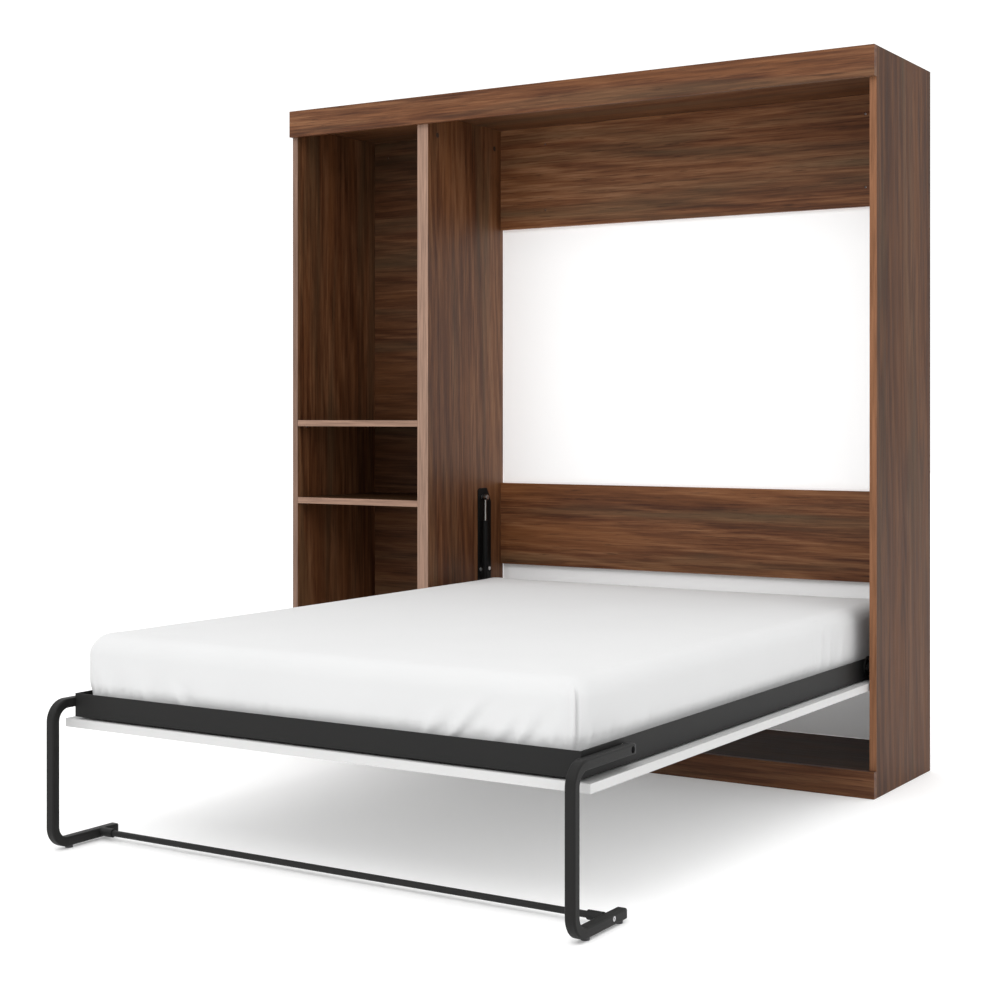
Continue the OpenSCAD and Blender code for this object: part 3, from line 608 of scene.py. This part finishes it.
def creases(low, high):
    """The sheet's creases. After the side: start, width, depth, slant and height."""
    foot, right, left = (0, (0, -1, 0)), (1, (1, 0, 0)), (1, (-1, 0, 0))
    made = [
        Crease(*right, high[1] - 0.62, 0.011, 0.0085, 0.25, 0.15),
        Crease(*right, high[1] - 0.54, 0.014, 0.0065, 0.20, 0.12),
        Crease(*right, high[1] - 0.44, 0.018, 0.0045, 0.25, 0.13),
        Crease(*right, low[1] + 0.30, 0.018, 0.0022, 0.30, 0.08),
        Crease(*foot, high[0] - 0.15, 0.014, 0.0070, 0.55, 0.10),
        Crease(*foot, high[0] - 0.21, 0.015, 0.0048, 0.70, 0.08),
        Crease(*foot, high[0] - 0.33, 0.014, 0.0090, 0.80, 0.11),
        Crease(*foot, high[0] - 0.40, 0.018, 0.0055, 0.60, 0.08),
        Crease(*foot, low[0] + 0.34, 0.018, 0.0055, -0.45, 0.07),
        Crease(*foot, low[0] + 0.22, 0.024, 0.0040, -0.30, 0.09),
        Crease(*foot, low[0] + 0.10, 0.020, 0.0042, -0.50, 0.10),
    ]
    made += [Crease(*left, low[1] + d, 0.016, 0.0045, 0.4, 0.09) for d in (0.16, 0.27, 1.55)]
    return made


def without_underside(mesh):
    """The mesh without its underside farther in than TURN_UNDER: points, normals, faces, low and high."""
    points = coordinates(mesh)
    flat = np.empty(len(mesh.vertices) * 3)
    mesh.vertex_normals.foreach_get("vector", flat)
    normals = flat.reshape(-1, 3)
    low, high = points.min(0), points.max(0)
    inside = np.minimum(points[:, :2] - low[:2], high[:2] - points[:, :2]).min(1)
    covered = (points[:, 2] > low[2] + UNDERSIDE_BAND) | (inside < TURN_UNDER)
    faces = [list(f.vertices) for f in mesh.polygons if all(covered[i] for i in f.vertices)]
    used = sorted({i for f in faces for i in f})
    order = {old: new for new, old in enumerate(used)}
    return points[used], normals[used], [[order[i] for i in f] for f in faces], low, high


def fitted_sheet(under):
    """The mattress's surface lifted off it, with seams, gathers and creases: vertices and faces."""
    q, n, faces, low, high = without_underside(refined(under))
    x, y, z = q.T
    # how upright the surface is, how far each point lies from the sides' ends, and its height over the rail
    upright = 1 - np.abs(n[:, 2])
    to_x = np.minimum(x - low[0], high[0] - x)
    to_y = np.minimum(y - low[1], high[1] - y)
    near_corner = lobe(np.hypot(to_x, to_y), 0.0, CORNER_REACH)
    above = z - RAIL_TOP
    # the sheet swells over the rails, but not where the struts pass
    free = soft_step(above, -0.004, 0.030)
    lift = SHEET_LIFT + SHEET_BULGE * upright * free * soft_step(high[1] - y, *STRUT_ZONE)
    # seam down each corner: a fold standing on one side of a groove
    across = to_x - to_y
    in_reach = soft_step(SEAM_REACH - np.maximum(to_x, to_y), 0, 0.01)
    seam_on = upright * in_reach * soft_step(high[2] - SEAM_BELOW_TOP - z, 0, 0.03)
    fold = soft_step(across, 0.0, 0.003) * soft_step(SEAM_WIDTH + 0.006 - across, 0, 0.008)
    lift += seam_on * (SEAM_HEIGHT * fold - SEAM_GROOVE * lobe(across, -0.004, 0.004))
    # gathers where the elastic pulls the hem in, deeper near the corners
    around = np.where(to_x < to_y, y, x)
    ripple = np.sin(around * 2 * math.pi / GATHER_PITCH + 2.6 * np.sin(around * 17.0))
    ripple = ripple + 0.5 * np.sin(around * 61.0 + 1.0)
    hem = soft_step(HEM_HEIGHT - above, 0, 0.06)
    lift += upright * hem * ripple * (GATHER_DEPTH + CORNER_GATHER_DEPTH * near_corner)
    for crease in creases(low, high):
        lift += crease.lift(q, n)
    # long, low waves across the top and sides
    waves = np.sin(x * 3.1 + 1.3 * np.sin(y * 1.7)) * np.sin(y * 2.3 + 0.8)
    waves = waves + 0.5 * np.sin(x * 7.3 - y * 5.1)
    lift += WAVE_DEPTH * waves * (1 - near_corner)
    return q + n * np.maximum(lift, LEAST_LIFT)[:, None], faces


sheet_points, sheet_faces = fitted_sheet(core)
sheet = mesh_object("fitted_sheet", sheet_points, sheet_faces, "bed")
wear(sheet, woven("cotton_sheet", (0.604, 0.606, 0.607), (0.576, 0.578, 0.579), 0.0011, 0.25))


# ---------------------------------------------------------------- stage and light
FLOOR_HALF, FLOOR_DROP = 30.0, 0.0005
WALL_GAP = 0.002
FLOOR_GLOW, WINDOW_GLOW, LOW_WALL_GLOW = 0.16, 0.20, 0.07
HORIZON_LIGHT, ZENITH_LIGHT, BACKDROP_LIGHT = 0.84, 1.42, 1.15
ZENITH_AT = 0.8
KEY_PLACE, KEY_TARGET, KEY_SIZE, KEY_POWER = (1.2, -5.5, 5.6), (0.3, 0.0, 0.6), (4.0, 3.0), 130


def plain_paint(name, grey, rough, glow):
    paint = Paint(name)
    paint.finish(Base_Color=(grey,) * 3, Roughness=rough, Specular_IOR_Level=0.1, Emission_Strength=glow)
    return paint


def staged_plane(name, corners, material):
    mesh = bpy.data.meshes.new(name)
    mesh.from_pydata(corners, [], [(0, 1, 2, 3)])
    mesh.materials.append(material)
    plane = bpy.data.objects.new(name, mesh)
    scene.collection.objects.link(plane)


def pale_floor():
    signs = ((-1, -1), (1, -1), (1, 1), (-1, 1))
    corners = [(x * FLOOR_HALF, y * FLOOR_HALF, -FLOOR_DROP) for x, y in signs]
    staged_plane("floor", corners, plain_paint("floor_paint", 0.90, 0.7, FLOOR_GLOW).material)


def wall_patch(name, low, high, glow, blocks_light):
    """Plain wall seen through an opening of the cabinet's back, from (x, z) low to high.

    It has one side only, so it hides nothing from behind.
    """
    paint = plain_paint(name, 0.92, 0.8, glow)
    hidden = paint.add("ShaderNodeNewGeometry").outputs["Backfacing"]
    if not blocks_light:
        seen_directly = paint.add("ShaderNodeLightPath").outputs["Is Camera Ray"]
        hidden = paint.math("MAXIMUM", hidden, paint.math("SUBTRACT", 1.0, seen_directly))
    clear = paint.add("ShaderNodeBsdfTransparent").outputs[0]
    one_sided = paint.add("ShaderNodeMixShader", {0: hidden, 1: paint.bsdf.outputs[0], 2: clear})
    paint.tree.links.new(one_sided.outputs[0], paint.output.inputs[0])
    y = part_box("bed_side_right")[1].y + WALL_GAP
    corners = [(low[0], y, low[1]), (high[0], y, low[1]), (high[0], y, high[1]), (low[0], y, high[1])]
    staged_plane(name, corners, paint.material)


def studio_dome():
    """White light from all round, stronger from above. The camera sees it as a plain white backdrop."""
    world = bpy.data.worlds.new("studio")
    world.use_nodes = True
    sky, lit = world.node_tree, world.node_tree.nodes["Background"]
    height = sky.nodes.new("ShaderNodeSeparateXYZ")
    dome = sky.nodes.new("ShaderNodeMapRange")
    seen = sky.nodes.new("ShaderNodeBackground")
    split = sky.nodes.new("ShaderNodeMixShader")
    for socket, value in zip(dome.inputs[1:5], (0.0, ZENITH_AT, HORIZON_LIGHT, ZENITH_LIGHT)):
        socket.default_value = value
    for background in (lit, seen):
        background.inputs["Color"].default_value = (1, 1, 1, 1)
    seen.inputs["Strength"].default_value = BACKDROP_LIGHT
    for output, socket in (
        (sky.nodes.new("ShaderNodeTexCoord").outputs["Generated"], height.inputs[0]),
        (height.outputs["Z"], dome.inputs[0]),
        (dome.outputs[0], lit.inputs["Strength"]),
        (sky.nodes.new("ShaderNodeLightPath").outputs["Is Camera Ray"], split.inputs[0]),
        (lit.outputs[0], split.inputs[1]),
        (seen.outputs[0], split.inputs[2]),
        (split.outputs[0], sky.nodes["World Output"].inputs[0]),
    ):
        sky.links.new(output, socket)
    return world


def softbox(name, place, target, size, power):
    data = bpy.data.lights.new(name, "AREA")
    data.shape, data.size, data.size_y, data.energy = "RECTANGLE", size[0], size[1], power
    lamp = bpy.data.objects.new(name, data)
    lamp.location = place
    lamp.rotation_euler = (Vector(target) - Vector(place)).to_track_quat("-Z", "Y").to_euler()
    scene.collection.objects.link(lamp)


pale_floor()
lower_rail, upper_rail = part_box("lower_back_rail"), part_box("upper_back_rail")
left, right = lower_rail[0].x, lower_rail[1].x
deck_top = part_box("base_deck")[1].z
wall_patch("wall_window", (left, lower_rail[1].z), (right, upper_rail[0].z), WINDOW_GLOW, False)
wall_patch("wall_low", (left, deck_top), (right, lower_rail[0].z), LOW_WALL_GLOW, True)
scene.world = studio_dome()
softbox("key", KEY_PLACE, KEY_TARGET, KEY_SIZE, KEY_POWER)
scene.view_settings.view_transform = "Standard"
